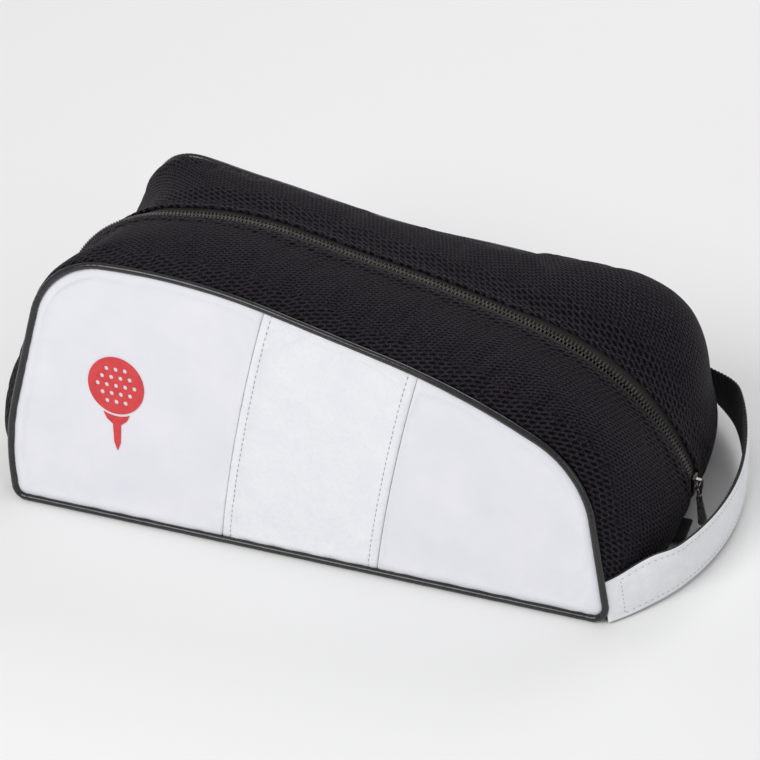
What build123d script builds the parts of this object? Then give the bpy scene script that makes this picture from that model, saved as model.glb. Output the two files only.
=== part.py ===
"""Golf shoe bag: two padded side panels, a black mesh top split by a zipper, a flat base
and a loop handle at the toe end.

Frame: origin at the centre of the base, on the surface the bag stands on. +X runs along
the bag towards the toe end and its handle, +Z is up, and the near side panel faces -Y.
Lengths are in millimetres.
"""

import os
from math import asin, cos, exp, pi, radians, sin

from build123d import *

# ---------------------------------------------------------------- driving dimensions
BASE_WIDTH = 200.0
HEEL_X = -174.0
TOE_X = 175.0
TOE_BULGE_X = 187.0
HEEL_BULGE_X = -183.0
BASE_EDGE_GAP = 6.0

NEAR_LEAN = 13.67
FAR_LEAN = 18.0
SIDE_OUTLINE = [(174.5, 6.5), (157, 87), (86, 120), (-64, 155), (-150, 152), (-179, 39), (-174.3, 6.5)]
SIDE_RADII = [59, 401, 370, 46, 140]
CENTRE_LINE = [(190, 6.5), (201, 31), (165, 102), (-56, 151), (-164, 138), (-192, 41), (-185.5, 6.5)]
CENTRE_RADII = [31, 127, 182, 91, 140]
CENTRE_SHIFT = -12.0
SHIFT_START_X = 40.0
SHIFT_LENGTH = 150.0

SKIN = 1.2
FOAM = 3.0
LINING = 0.6
SEAM_SLOPE = 0.1
SEAM_CURVE = 0.00055
FRONT_SEAM_X = -46.8
REAR_SEAM_X = 45.0
PIPING_R = 2.0
PIPING_CORNER_R = 7.0
FLOOR_GAP = 0.2

MESH_THICKNESS = 1.5
MESH_FOOT = 2.6
SWELL_TOP = 5.0
SWELL_TOE_NEAR = 5.0
SWELL_TOE_FAR = 22.0
SWELL_TOE_BIAS = 0.75
SWELL_TOE_AT = 0.17
SWELL_TOE_SPREAD = 0.10
SWELL_FADE = 0.06
SWELL_FOOT = 6.0
SWELL_FOOT_FADE = 0.10
ROWS = 36
COLUMNS = 8

MESH_EDGE_Y = 9.0
TAPE_OUTER_Y = 11.5
TAPE_INNER_Y = 2.9
TAPE_DEPTH = 1.75
TAPE_THICKNESS = 0.7
COIL_OUTER_Y = 2.8
COIL_INNER_Y = 0.2
COIL_DEPTH = 1.1
COIL_THICKNESS = 1.8
TRACK_DEPTH = 2.0
SLIDER_TRAVEL_START = 25.9
TAPE_START = 3.0
TAPE_END_MARGIN = 3.0
COIL_END_MARGIN = 24.0

SLIDER_LENGTH = 11.0
SLIDER_WIDTH = 9.4
SLIDER_GAP = 3.4
SLIDER_PLATE = 1.2
LIP_DEPTH = 0.4
BRIDGE_RISE = 4.0
RING_WIRE = 0.65
RING_WIDTH = 7.6
RING_DROP = 9.0
PULLER_LEAN = 8.0
PULLER_LENGTH = 19.0
PULLER_EYE_R = 1.7
PULLER_TOP = 3.2
PULLER_TIP = 5.6
PULLER_THICKNESS = 1.4

TOP_STOP_AT = 17.5
TOP_STOP_Y = 1.5
TOP_STOP = (2.6, 2.3, 2.4)
BOTTOM_STOP_MARGIN = 21.5
BOTTOM_STOP = (4.2, 5.2, 2.6)
TAB_X = 188.7
TAB_Y = -21.0
TAB_Z = 2.2
TAB_LENGTH = 8.5
TAB_WIDTH = 18.0
TAB_THICKNESS = 2.4

BASE_SKIN = 1.4
BOARD = 1.6
BOARD_INSET = 1.0
PIPING_END_GAP = 5.0

STRAP_HEIGHT = 30.0
STRAP_BOTTOM = 2.0
STRAP_BOW = 44.0
STRAP_FACE = 1.3
STRAP_BACKING = 1.2
STRAP_X = 176.5
STRAP_END_Y = 95.0
STRAP_FAR_RISE = 8.0
STRAP_RISE_LENGTH = 60.0
STRAP_SECTIONS = 24

MARK_X = -109.0
MARK_Z = 84.0
MARK_BALL_R = 17.0
DIMPLE_R = 1.35
DIMPLE_PITCH = 5.6
MARK_THICKNESS = 0.5

os.makedirs("parts", exist_ok=True)


def save(shape, node):
    export_step(shape, f"parts/{node}.step")


# ---------------------------------------------------------------- reference surfaces
def panel_plane(lean):
    """The face of a leaning near panel: +Y runs up the panel and +Z points outwards."""
    normal = (0, -cos(radians(lean)), sin(radians(lean)))
    return Plane(origin=(0, -BASE_WIDTH / 2, 0), x_dir=(1, 0, 0), z_dir=normal)


# The far panel is laid out on the near side with its own lean, then mirrored.
PLANES = {-1: panel_plane(NEAR_LEAN), 1: panel_plane(FAR_LEAN)}


def rounded_path(points, radii):
    return Wire(FilletPolyline(*points, radius=radii).edges())


side_path = rounded_path(SIDE_OUTLINE, SIDE_RADII)
centre_path = rounded_path(CENTRE_LINE, CENTRE_RADII)


def along(wire, t):
    """The point of a flat wire at the fraction t of its length."""
    return wire.position_at(t * wire.length, position_mode=PositionMode.LENGTH)


def outward(t):
    """The direction square to the centre line, out of the bag, in the XZ plane."""
    heading = centre_path.tangent_at(t * centre_path.length, position_mode=PositionMode.LENGTH)
    return Vector(heading.Y, 0, -heading.X)


def smooth(x):
    x = min(max(x, 0), 1)
    return x * x * (3 - 2 * x)


def centre_point(t):
    flat = along(centre_path, t)
    shift = CENTRE_SHIFT * smooth((flat.X - SHIFT_START_X) / SHIFT_LENGTH)
    return Vector(flat.X, shift, flat.Y)


def side_point(t, side):
    flat = along(side_path, t)
    point = PLANES[side].from_local_coords(Vector(flat.X, flat.Y, 0))
    return Vector(point.X, -side * point.Y, point.Z)


def top_point(t, v, side, depth=0.0):
    """A point of the mesh top: v is 0 at the side panel and 1 on the centre line."""
    fade = smooth(t / SWELL_FADE) * smooth((1 - t) / SWELL_FADE)
    foot = SWELL_FOOT * (1 - smooth(t / SWELL_FOOT_FADE))
    toe = SWELL_TOE_FAR if side > 0 else SWELL_TOE_NEAR
    toe *= fade * exp(-(((t - SWELL_TOE_AT) / SWELL_TOE_SPREAD) ** 2))
    crown = (SWELL_TOP * fade + foot) * sin(pi * v) + toe * sin(pi * v**SWELL_TOE_BIAS)
    start = side_point(t, side)
    return start + (centre_point(t) - start) * v + outward(t) * (crown - depth)


def v_at(t, side, distance):
    """The value of v at a distance from the centre line."""
    return 1 - distance / (centre_point(t) - side_point(t, side)).length


def strip(side, t_range, edge_from, edge_to, depth, thickness, columns):
    """A solid strip of the mesh top between two lines that run along the bag."""
    sections = []
    for row in range(ROWS + 1):
        t = t_range[0] + (t_range[1] - t_range[0]) * row / ROWS
        v0, v1 = edge_from(t), edge_to(t)
        across = [v0 + (v1 - v0) * c / columns for c in range(columns + 1)]
        outer = [top_point(t, v, side, depth) for v in across]
        inner = [top_point(t, v, side, depth + thickness) for v in across]
        if columns > 1:
            faces = [Edge.make_spline(outer), Edge.make_spline(inner)]
        else:
            faces = [Edge.make_line(*outer), Edge.make_line(*inner)]
        ends = [Edge.make_line(outer[0], inner[0]), Edge.make_line(outer[-1], inner[-1])]
        sections.append(Wire(faces + ends))
    return Solid.make_loft(sections)


# ---------------------------------------------------------------- side panels
def side_loop():
    """The closed outline of a side panel, along the middle of its piping."""
    x_heel, x_toe = SIDE_OUTLINE[-1][0], SIDE_OUTLINE[0][0]
    base_y = PIPING_R + FLOOR_GAP
    corners = [(x_toe + 0.5, base_y), *SIDE_OUTLINE[1:-1], (x_heel - 0.5, base_y)]
    radii = [PIPING_CORNER_R, *SIDE_RADII, PIPING_CORNER_R]
    return Wire(FilletPolyline(*corners, radius=radii, close=True).edges())


def outline_face(inset):
    """The side panel's outline on its plane, made smaller by an inset."""
    return offset(make_face(side_loop().edges()), amount=-inset)


def side_plate(side, inset, depth, thickness):
    face = outline_face(inset)
    return extrude(PLANES[side].offset(-depth - thickness) * face, amount=thickness)


def seam_point(x_start, height):
    return (x_start + SEAM_SLOPE * height + SEAM_CURVE * height**2, height)


def seam_cutter(side, x_start, toe_side):
    """A block on one side of a slanted, slightly curved seam, square to the side panel."""
    low, middle, high = (seam_point(x_start, height) for height in (-20, 80, 180))
    far_x = 400 if toe_side else -400
    seam = ThreePointArc(low, middle, high)
    rest = Polyline(high, (far_x, 180), (far_x, -20), low)
    block = make_face([*seam.edges(), *rest.edges()])
    return extrude(PLANES[side] * block, amount=30, both=True)


def to_side(shape, side):
    return shape if side < 0 else mirror(shape, about=Plane.XZ)


def make_side(side, name):
    skin = side_plate(side, PIPING_R, 0, SKIN)
    before_seam = seam_cutter(side, FRONT_SEAM_X, False)
    after_seam = seam_cutter(side, REAR_SEAM_X, True)
    heel = skin & before_seam
    toe = skin & after_seam
    centre = skin - before_seam - after_seam
    save(to_side(heel, side), f"heel_panel_{name}")
    save(to_side(centre, side), f"centre_panel_{name}")
    save(to_side(toe, side), f"toe_panel_{name}")
    save(to_side(side_plate(side, 4.0, SKIN, FOAM), side), f"panel_foam_{name}")
    save(to_side(side_plate(side, 5.0, SKIN + FOAM, LINING), side), f"panel_lining_{name}")

    binding = outline_face(6.0) - outline_face(13.0)
    depth = SKIN + FOAM + LINING
    tape = extrude(PLANES[side].offset(-depth - 0.8) * binding, amount=0.8)
    save(to_side(tape, side), f"seam_binding_{name}")

    path = PLANES[side] * side_loop()
    start = Plane(origin=path.position_at(0), z_dir=path.tangent_at(0))
    save(to_side(sweep(start * Circle(PIPING_R), path=path), side), f"piping_{name}")


# ---------------------------------------------------------------- mesh top and zipper
def make_top(side, name):
    length = centre_path.length
    mesh = strip(
        side,
        (0, 1),
        lambda t: MESH_FOOT / (centre_point(t) - side_point(t, side)).length,
        lambda t: v_at(t, side, MESH_EDGE_Y),
        0,
        MESH_THICKNESS,
        COLUMNS,
    )
    save(mesh, f"mesh_top_{name}")

    tape = strip(
        side,
        (TAPE_START / length, 1 - TAPE_END_MARGIN / length),
        lambda t: v_at(t, side, TAPE_OUTER_Y),
        lambda t: v_at(t, side, TAPE_INNER_Y),
        TAPE_DEPTH,
        TAPE_THICKNESS,
        1,
    )
    save(tape, f"zipper_tape_{name}")

    coil = strip(
        side,
        (SLIDER_TRAVEL_START / length, 1 - COIL_END_MARGIN / length),
        lambda t: v_at(t, side, COIL_OUTER_Y),
        lambda t: v_at(t, side, COIL_INNER_Y),
        COIL_DEPTH,
        COIL_THICKNESS,
        1,
    )
    save(coil, f"zipper_coil_{name}")


def make_slider():
    """The slider, closed, at the toe end: two plates, a post between them and a bridge."""
    fraction = SLIDER_TRAVEL_START / centre_path.length
    origin = centre_point(fraction) - outward(fraction) * TRACK_DEPTH
    down = Vector(outward(fraction).Z, 0, -outward(fraction).X)
    place = Plane(origin=origin, x_dir=down, z_dir=outward(fraction))

    half, wide, narrow = SLIDER_LENGTH / 2, SLIDER_WIDTH / 2, SLIDER_WIDTH / 2 - 1.4
    corners = [(-half, -narrow), (0, -narrow - 0.3), (half, -wide), (half, wide)]
    corners += [(0, narrow + 0.3), (-half, narrow)]
    outline = make_face(Polyline(*corners, close=True))
    outline = fillet(outline.vertices(), radius=1.4)
    top = extrude(Plane.XY.offset(SLIDER_GAP / 2) * outline, amount=SLIDER_PLATE)
    bottom = extrude(Plane.XY.offset(-SLIDER_GAP / 2 - SLIDER_PLATE) * outline, amount=SLIDER_PLATE)
    post = Pos(half - 2.2, 0, 0) * extrude(
        make_face(Polyline((-1.9, 0), (0.6, -1.0), (1.8, 0), (0.6, 1.0), close=True)),
        amount=SLIDER_GAP / 2 + 0.2,
        both=True,
    )
    lips = [
        Pos(0.6, side * (narrow - 0.05), side_z * (SLIDER_GAP / 2 - LIP_DEPTH / 2))
        * Box(SLIDER_LENGTH - 4, 0.7, LIP_DEPTH)
        for side in (-1, 1)
        for side_z in (-1, 1)
    ]
    save(place * (top + bottom + post + lips), "zipper_slider")

    top_z = SLIDER_GAP / 2 + SLIDER_PLATE
    arch = make_face(
        Polyline((-3.6, 0), (-2.9, BRIDGE_RISE), (2.9, BRIDGE_RISE), (3.6, 0), close=True)
    )
    arch = fillet(arch.vertices().sort_by(Axis.Y)[2:], radius=1.4)
    hole = make_face(
        Polyline((-2.4, 0), (-1.9, BRIDGE_RISE - 1.1), (1.9, BRIDGE_RISE - 1.1), (2.4, 0), close=True)
    )
    hole = fillet(hole.vertices().sort_by(Axis.Y)[2:], radius=0.8)
    bridge = extrude(Plane.XZ * (arch - hole), amount=1.1, both=True)
    save(place * (Pos(0, 0, top_z) * bridge), "slider_bridge")
    ring_axis = place.from_local_coords(Vector(1.0, 0, top_z + BRIDGE_RISE - 1.1 - RING_WIRE - 0.3))
    return ring_axis


def make_pull(axis_point):
    """The ring that hangs from the bridge and the tapered puller that hangs from the ring."""
    hang = Plane(origin=axis_point, x_dir=(0, 1, 0), z_dir=(1, 0, 0))
    half_y = RING_WIDTH / 2
    corners = [(-half_y, 0), (half_y, 0), (half_y - 0.8, -RING_DROP), (-half_y + 0.8, -RING_DROP)]
    loop = Wire(FilletPolyline(*corners, radius=[1.3, 1.3, 2.2, 2.2], close=True).edges())
    path = hang * loop
    start = Plane(origin=path.position_at(0), z_dir=path.tangent_at(0))
    save(sweep(start * Circle(RING_WIRE), path=path), "pull_ring")

    blade = make_face(
        Polyline(
            (-PULLER_EYE_R, 0),
            (-PULLER_TOP / 2, -PULLER_EYE_R),
            (-PULLER_TIP / 2, -PULLER_LENGTH),
            (PULLER_TIP / 2, -PULLER_LENGTH),
            (PULLER_TOP / 2, -PULLER_EYE_R),
            (PULLER_EYE_R, 0),
            close=True,
        )
    )
    blade = fillet(blade.vertices().sort_by(Axis.Y)[:2], radius=1.6)
    eye = Circle(PULLER_EYE_R)
    grip = Pos(0, -PULLER_LENGTH * 0.62) * SlotOverall(PULLER_LENGTH * 0.5, 1.4, rotation=90)
    flat = blade + eye - Circle(RING_WIRE + 0.4)
    recess = extrude(Plane.XY.offset(PULLER_THICKNESS / 2 - 0.25) * grip, amount=0.4)
    solid = extrude(flat, amount=PULLER_THICKNESS / 2, both=True)
    solid -= recess + mirror(recess, about=Plane.XY)
    pivot = axis_point + Vector(0, 0, -RING_DROP)
    place = Plane(origin=pivot, x_dir=(1, 0, 0), z_dir=(0, -1, 0))
    save(place * (Rot(0, 0, PULLER_LEAN) * solid), "puller")


def make_stops():
    """The stops at the ends of the coil and the webbing tab below them."""
    length = centre_path.length

    def block(distance, size, y_offset):
        t = distance / length
        place = Plane(
            origin=centre_point(t) - outward(t) * TRACK_DEPTH + Vector(0, y_offset, 0),
            x_dir=Vector(outward(t).Z, 0, -outward(t).X),
            z_dir=outward(t),
        )
        shape = Box(*size)
        return place * fillet(shape.edges().filter_by(Axis.X), radius=0.6)

    tops = [block(TOP_STOP_AT, TOP_STOP, y) for y in (-TOP_STOP_Y, TOP_STOP_Y)]
    save(Compound(tops), "zipper_top_stops")
    save(block(length - BOTTOM_STOP_MARGIN, BOTTOM_STOP, 0), "zipper_bottom_stop")

    fold = make_face(
        FilletPolyline(
            (TAB_X, TAB_Z),
            (TAB_X + TAB_LENGTH, TAB_Z),
            (TAB_X + TAB_LENGTH, TAB_Z + TAB_THICKNESS),
            (TAB_X, TAB_Z + TAB_THICKNESS),
            radius=TAB_THICKNESS / 2 - 0.1,
            close=True,
        )
    )
    web = extrude(Plane.XZ.offset(-TAB_Y - TAB_WIDTH / 2) * fold, amount=TAB_WIDTH)
    save(web, "toe_tab")


# ---------------------------------------------------------------- base
def base_outline(inset):
    half = BASE_WIDTH / 2 - BASE_EDGE_GAP - inset
    toe, heel = TOE_X - PIPING_R - inset, HEEL_X + PIPING_R + inset
    edges = [
        Line((heel, -half), (toe, -half)),
        ThreePointArc((toe, -half), (TOE_BULGE_X - PIPING_R - inset, 0), (toe, half)),
        Line((toe, half), (heel, half)),
        ThreePointArc((heel, half), (HEEL_BULGE_X + PIPING_R + inset, 0), (heel, -half)),
    ]
    return make_face(edges)


def make_base():
    save(extrude(base_outline(0), amount=BASE_SKIN), "bottom_panel")
    board = Plane.XY.offset(BASE_SKIN) * base_outline(BOARD_INSET)
    save(extrude(board, amount=BOARD), "base_board")
    lining = Plane.XY.offset(BASE_SKIN + BOARD) * base_outline(BOARD_INSET)
    save(extrude(lining, amount=LINING), "base_lining")
    end_y = BASE_WIDTH / 2 - PIPING_END_GAP
    for x, bulge, name in ((TOE_X, TOE_BULGE_X, "toe"), (HEEL_X, HEEL_BULGE_X, "heel")):
        start_x = x + 1 if name == "toe" else x - 1
        path = ThreePointArc((start_x, -end_y), (bulge, 0), (start_x, end_y))
        path = Plane.XY.offset(PIPING_R + FLOOR_GAP) * path
        start = Plane(origin=path @ 0, z_dir=path % 0)
        save(sweep(start * Circle(PIPING_R), path=path), f"base_piping_{name}")


# ---------------------------------------------------------------- handle and mark
def make_handle():
    """The strap bows round the toe end on a circle and climbs a little towards its far end."""
    half = BASE_WIDTH / 2
    radius = (half**2 + STRAP_BOW**2) / (2 * STRAP_BOW)
    centre_x = STRAP_X + STRAP_BOW - radius
    reach = asin(STRAP_END_Y / radius)

    def corner(turn, distance, height):
        rise = STRAP_FAR_RISE * smooth(radius * sin(turn) / STRAP_RISE_LENGTH)
        z = STRAP_BOTTOM + rise + height
        return Vector(centre_x + distance * cos(turn), distance * sin(turn), z)

    def band(outer, thickness):
        inner = outer - thickness
        sections = []
        for section in range(STRAP_SECTIONS + 1):
            turn = reach * (2 * section / STRAP_SECTIONS - 1)
            low = [corner(turn, outer, 0), corner(turn, inner, 0)]
            high = [corner(turn, inner, STRAP_HEIGHT), corner(turn, outer, STRAP_HEIGHT)]
            sections.append(Wire(Polyline(*low, *high, close=True).edges()))
        return Solid.make_loft(sections)

    save(band(radius, STRAP_FACE), "handle_face")
    save(band(radius - STRAP_FACE, STRAP_BACKING), "handle_backing")


def make_mark():
    """A golf ball on a tee, in raised vinyl on the heel panel."""
    ball = Pos(MARK_X, MARK_Z) * Circle(MARK_BALL_R)
    dimples = Pos(MARK_X, MARK_Z) * HexLocations(DIMPLE_PITCH / 2, 7, 7)
    inside = [p for p in dimples if (p.position - Vector(MARK_X, MARK_Z)).length < MARK_BALL_R - 3]
    holes = [p * Circle(DIMPLE_R) for p in inside]
    tee_top = MARK_Z - MARK_BALL_R + 1.5
    tee = make_face(
        Polyline(
            (MARK_X - 7.5, tee_top),
            (MARK_X - 2.2, tee_top - 7),
            (MARK_X - 1.8, tee_top - 19),
            (MARK_X, tee_top - 24),
            (MARK_X + 1.8, tee_top - 19),
            (MARK_X + 2.2, tee_top - 7),
            (MARK_X + 7.5, tee_top),
            close=True,
        )
    )
    tee -= Pos(MARK_X, MARK_Z) * Circle(MARK_BALL_R + 1.6)
    solids = extrude(PLANES[-1] * (ball - holes), amount=MARK_THICKNESS)
    solids += extrude(PLANES[-1] * tee, amount=MARK_THICKNESS)
    save(solids, "ball_mark")


for side, name in ((-1, "near"), (1, "far")):
    make_side(side, name)
    make_top(side, name)
make_pull(make_slider())
make_stops()
make_base()
make_handle()
make_mark()
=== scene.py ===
"""Golf shoe bag: its looks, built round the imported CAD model.

Padded white PU side panels, black piping, a knitted mesh top split by a coil zipper and a
PU loop handle. +X runs to the toe end, the near panel faces -Y. Lengths are in metres.
"""

import math

import bmesh
import bpy
import numpy as np
from mathutils import Matrix, Vector
from mathutils.bvhtree import BVHTree
from mathutils.geometry import delaunay_2d_cdt


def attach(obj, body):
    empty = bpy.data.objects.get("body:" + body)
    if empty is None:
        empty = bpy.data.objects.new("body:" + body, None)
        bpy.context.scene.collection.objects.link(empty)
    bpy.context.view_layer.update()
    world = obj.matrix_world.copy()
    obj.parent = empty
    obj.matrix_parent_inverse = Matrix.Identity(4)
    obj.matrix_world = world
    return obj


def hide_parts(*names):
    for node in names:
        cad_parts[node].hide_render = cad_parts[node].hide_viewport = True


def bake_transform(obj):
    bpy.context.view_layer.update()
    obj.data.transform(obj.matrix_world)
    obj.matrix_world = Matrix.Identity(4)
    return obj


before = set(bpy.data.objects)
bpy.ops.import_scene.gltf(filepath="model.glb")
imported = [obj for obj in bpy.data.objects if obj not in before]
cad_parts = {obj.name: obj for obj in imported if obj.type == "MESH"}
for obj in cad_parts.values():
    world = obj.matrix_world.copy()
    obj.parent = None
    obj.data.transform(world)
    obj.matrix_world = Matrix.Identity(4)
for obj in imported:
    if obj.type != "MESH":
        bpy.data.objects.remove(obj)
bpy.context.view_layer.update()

MM = 0.001

# ---------------------------------------------------------------- the CAD model's own dimensions
HALF_WIDTH = 100 * MM
LEAN = {-1: math.radians(13.67), 1: math.radians(18)}
SIDE_OUTLINE = [(174.5, 6.5), (157, 87), (86, 120), (-64, 155), (-150, 152), (-179, 39), (-174.3, 6.5)]
SIDE_RADII = [59, 401, 370, 46, 140]
CENTRE_LINE = [(190, 6.5), (201, 31), (165, 102), (-56, 151), (-164, 138), (-192, 41), (-185.5, 6.5)]
CENTRE_RADII = [31, 127, 182, 91, 140]
CENTRE_SHIFT = -12 * MM
SHIFT_START_X = 40 * MM
SHIFT_LENGTH = 150 * MM
SEAM_SLOPE = 0.1
SEAM_CURVE = 0.55
FRONT_SEAM_X = -46.8 * MM
REAR_SEAM_X = 45 * MM
PIPING_R = 2 * MM
PIPING_CORNER_R = 7
LOOP_BASE = 2.2
LOOP_END = 0.5
SWELL_TOP = 5 * MM
SWELL_TOE = {-1: 5 * MM, 1: 22 * MM}
SWELL_TOE_AT, SWELL_TOE_SPREAD = 0.17, 0.10
SWELL_FADE = 0.06
SWELL_FOOT = 6 * MM
SWELL_FOOT_FADE = 0.10
SKIN = 1.2 * MM
FOAM = 3 * MM
LINING = 0.6 * MM
TRACK_DEPTH = 2 * MM
MARK_X, MARK_S = -109 * MM, 84 * MM
BALL_R = 17 * MM
STRAP_X = 176.5 * MM
STRAP_BOW = 44 * MM
STRAP_BOTTOM = 2 * MM
STRAP_HEIGHT = 30 * MM
STRAP_FAR_RISE = 8 * MM
STRAP_RISE_LENGTH = 60 * MM

# ---------------------------------------------------------------- how the cloth departs from it
SIDES = {"near": -1, "far": 1}
PARTS = ("heel", "centre", "toe")
# The far panel's top edge sags in the middle, and its heel corner leans in and stands higher.
FAR_SAG = 19 * MM
FAR_SAG_REACH = 150 * MM
FAR_SAG_LENGTH = 95 * MM
FAR_SLUMP = 15 * MM
FAR_CORNER_LIFT = 7 * MM
CORNER_START_X = -70 * MM
CORNER_LENGTH = 90 * MM
# The mesh rises less beside the near row of teeth, rolls over the piping and dips at the heel.
SWELL_TOP_BIAS = {-1: 0.62, 1: 1.0}
SWELL_TOE_BIAS = {-1: 0.62, 1: 0.75}
ROLL = {-1: 0.0, 1: 5 * MM}
ROLL_BIAS, ROLL_SHARE = 0.35, 1.3
ROLL_WIDTH = 9 * MM
HEEL_DIP = {-1: 13 * MM, 1: 22 * MM}
HEEL_DIP_AT = {-1: 0.83, 1: 0.80}
HEEL_DIP_SPREAD = 0.11
HEEL_DIP_BIAS = 1.1
HEEL_SWELL = {-1: 5 * MM, 1: 4 * MM}
HEEL_SWELL_AT, HEEL_SWELL_SPREAD = 0.90, 0.10
BIAS_START, ROLL_START, START_LENGTH = 0.05, 0.07, 0.10
MESH_FROM_PIPING = 1.6 * MM
SIM_SCALE = 10.0
SIM_FRAMES = 20


# ---------------------------------------------------------------- lines and surfaces
def smooth(x):
    x = np.clip(x, 0, 1)
    return x * x * (3 - 2 * x)


def bell(x, middle, spread):
    return np.exp(-(((x - middle) / spread) ** 2))


def norm(vectors):
    return np.linalg.norm(vectors, axis=-1)


def unit(vectors):
    return vectors / norm(vectors)[..., None]


def reach_of(points):
    """How far along a line each of its points lies."""
    return np.concatenate([[0], np.cumsum(norm(np.diff(points, axis=0)))])


def read_line(points, reached, reach):
    return np.stack([np.interp(reach, reached, column) for column in points.T], -1)


class Path:
    """A flat line of straight runs joined by arcs, read by the fraction of its length."""

    def __init__(self, corners, radii, closed=False):
        corners = np.array(corners, float) * MM
        count = len(corners)
        turns = range(count) if closed else range(1, count - 1)
        line = [] if closed else [corners[:1]]
        for radius, i in zip(radii, turns):
            line.append(self.arc(corners[i - 1], corners[i], corners[(i + 1) % count], radius * MM))
        line.append(line[0][:1] if closed else corners[-1:])
        self.points = np.vstack(line)
        self.reached = reach_of(self.points)
        self.length = self.reached[-1]

    @staticmethod
    def arc(before, corner, after, radius):
        a, b = unit(before - corner), unit(after - corner)
        half = math.acos(np.clip(a @ b, -1, 1)) / 2
        centre = corner + unit(a + b) * radius / math.sin(half)
        first = corner + a * radius / math.tan(half) - centre
        last = corner + b * radius / math.tan(half) - centre
        turn = math.atan2(first[0] * last[1] - first[1] * last[0], first @ last)
        angles = math.atan2(first[1], first[0]) + turn * np.linspace(0, 1, 40)
        return centre + radius * np.stack([np.cos(angles), np.sin(angles)], -1)

    def at(self, fraction):
        return read_line(self.points, self.reached, np.asarray(fraction) * self.length)

    def heading(self, fraction):
        step = 0.5 * MM / self.length
        return unit(self.at(np.minimum(fraction + step, 1)) - self.at(np.maximum(fraction - step, 0)))


def left_of(heading):
    return np.stack([-heading[..., 1], heading[..., 0]], -1)


side_path = Path(SIDE_OUTLINE, SIDE_RADII)
centre_path = Path(CENTRE_LINE, CENTRE_RADII)
toe_end, heel_end = SIDE_OUTLINE[0][0] + LOOP_END, SIDE_OUTLINE[-1][0] - LOOP_END
loop_corners = [(toe_end, LOOP_BASE), *SIDE_OUTLINE[1:-1], (heel_end, LOOP_BASE)]
loop_path = Path(loop_corners, [PIPING_CORNER_R, *SIDE_RADII, PIPING_CORNER_R], closed=True)


def on_side(flat, height, side):
    """Points (x along, s up) of a leaning side panel, raised off it by height."""
    x, s = flat[..., 0], flat[..., 1]
    if side > 0:
        high = smooth(s / FAR_SAG_REACH)
        s = s - FAR_SAG * high * bell(x, 0, FAR_SAG_LENGTH)
        corner = high * smooth((CORNER_START_X - x) / CORNER_LENGTH)
        x = x + FAR_SLUMP * corner
        s = s + FAR_CORNER_LIFT * corner
    y = -HALF_WIDTH + s * math.sin(LEAN[side]) - height * math.cos(LEAN[side])
    z = s * math.cos(LEAN[side]) + height * math.sin(LEAN[side])
    return np.stack([x, -side * y, z], -1)


def side_normal(side):
    return np.array([0, side * math.cos(LEAN[side]), math.sin(LEAN[side])])


def outward(t):
    heading = centre_path.heading(t)
    return np.stack([heading[..., 1], 0 * heading[..., 0], -heading[..., 0]], -1)


def centre_point(t):
    flat = centre_path.at(t)
    shift = CENTRE_SHIFT * smooth((flat[..., 0] - SHIFT_START_X) / SHIFT_LENGTH)
    return np.stack([flat[..., 0], shift, flat[..., 1]], -1)


def top_point(t, distance, side, depth=0.0):
    """A point of the mesh top, at a distance from the zipper's centre line."""
    start = on_side(side_path.at(t), 0, side)
    across = centre_point(t) - start
    v = np.clip(1 - distance / norm(across), 0, None)
    fade = smooth(t / SWELL_FADE) * smooth((1 - t) / SWELL_FADE)
    foot = SWELL_FOOT * (1 - smooth(t / SWELL_FOOT_FADE))
    toe = SWELL_TOE[side] * fade * bell(t, SWELL_TOE_AT, SWELL_TOE_SPREAD)
    heel = HEEL_SWELL[side] * bell(t, HEEL_SWELL_AT, HEEL_SWELL_SPREAD)
    dip = HEEL_DIP[side] * bell(t, HEEL_DIP_AT[side], HEEL_DIP_SPREAD)
    roll = ROLL[side] * smooth((t - ROLL_START) / START_LENGTH)
    rolled = fade * (1 - v) * (heel + roll) * ROLL_SHARE * np.sin(np.pi * v**ROLL_BIAS)
    off_piping = smooth((norm(across) - distance - MESH_FROM_PIPING) / ROLL_WIDTH)
    top_bias = 1 - (1 - SWELL_TOP_BIAS[side]) * smooth((t - BIAS_START) / START_LENGTH)
    crown = (SWELL_TOP * fade + foot) * np.sin(np.pi * v**top_bias)
    rise = crown - fade * dip * np.sin(np.pi * v**HEEL_DIP_BIAS)
    rise = rise + off_piping * (toe * np.sin(np.pi * v ** SWELL_TOE_BIAS[side]) + rolled)
    return start + across * v[..., None] + outward(t) * (rise - depth)[..., None]


def half_breadth(t, side):
    return norm(centre_point(t) - on_side(side_path.at(t), 0, side))


def zipper_frame(t, side):
    """The centre line's points with the directions along it, across the tape and out of the bag."""
    centre = centre_point(t)
    step = 1 * MM / centre_path.length
    along = unit(centre_point(np.minimum(t + step, 1)) - centre_point(np.maximum(t - step, 0)))
    edge = top_point(t, 6 * MM + 0 * t, side)
    across = edge - centre
    across = unit(across - along * np.sum(across * along, -1, keepdims=True))
    out = np.cross(along, across) * -side
    return centre, along, across, out


# ---------------------------------------------------------------- mesh helpers
def table(rows, columns, start=0):
    return start + np.arange(rows * columns).reshape(rows, columns)


def quads(index):
    """Faces between the neighbours in a table of vertex numbers."""
    faces = np.stack([index[:-1, :-1], index[1:, :-1], index[1:, 1:], index[:-1, 1:]], -1)
    return faces.reshape(-1, 4).tolist()


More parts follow.
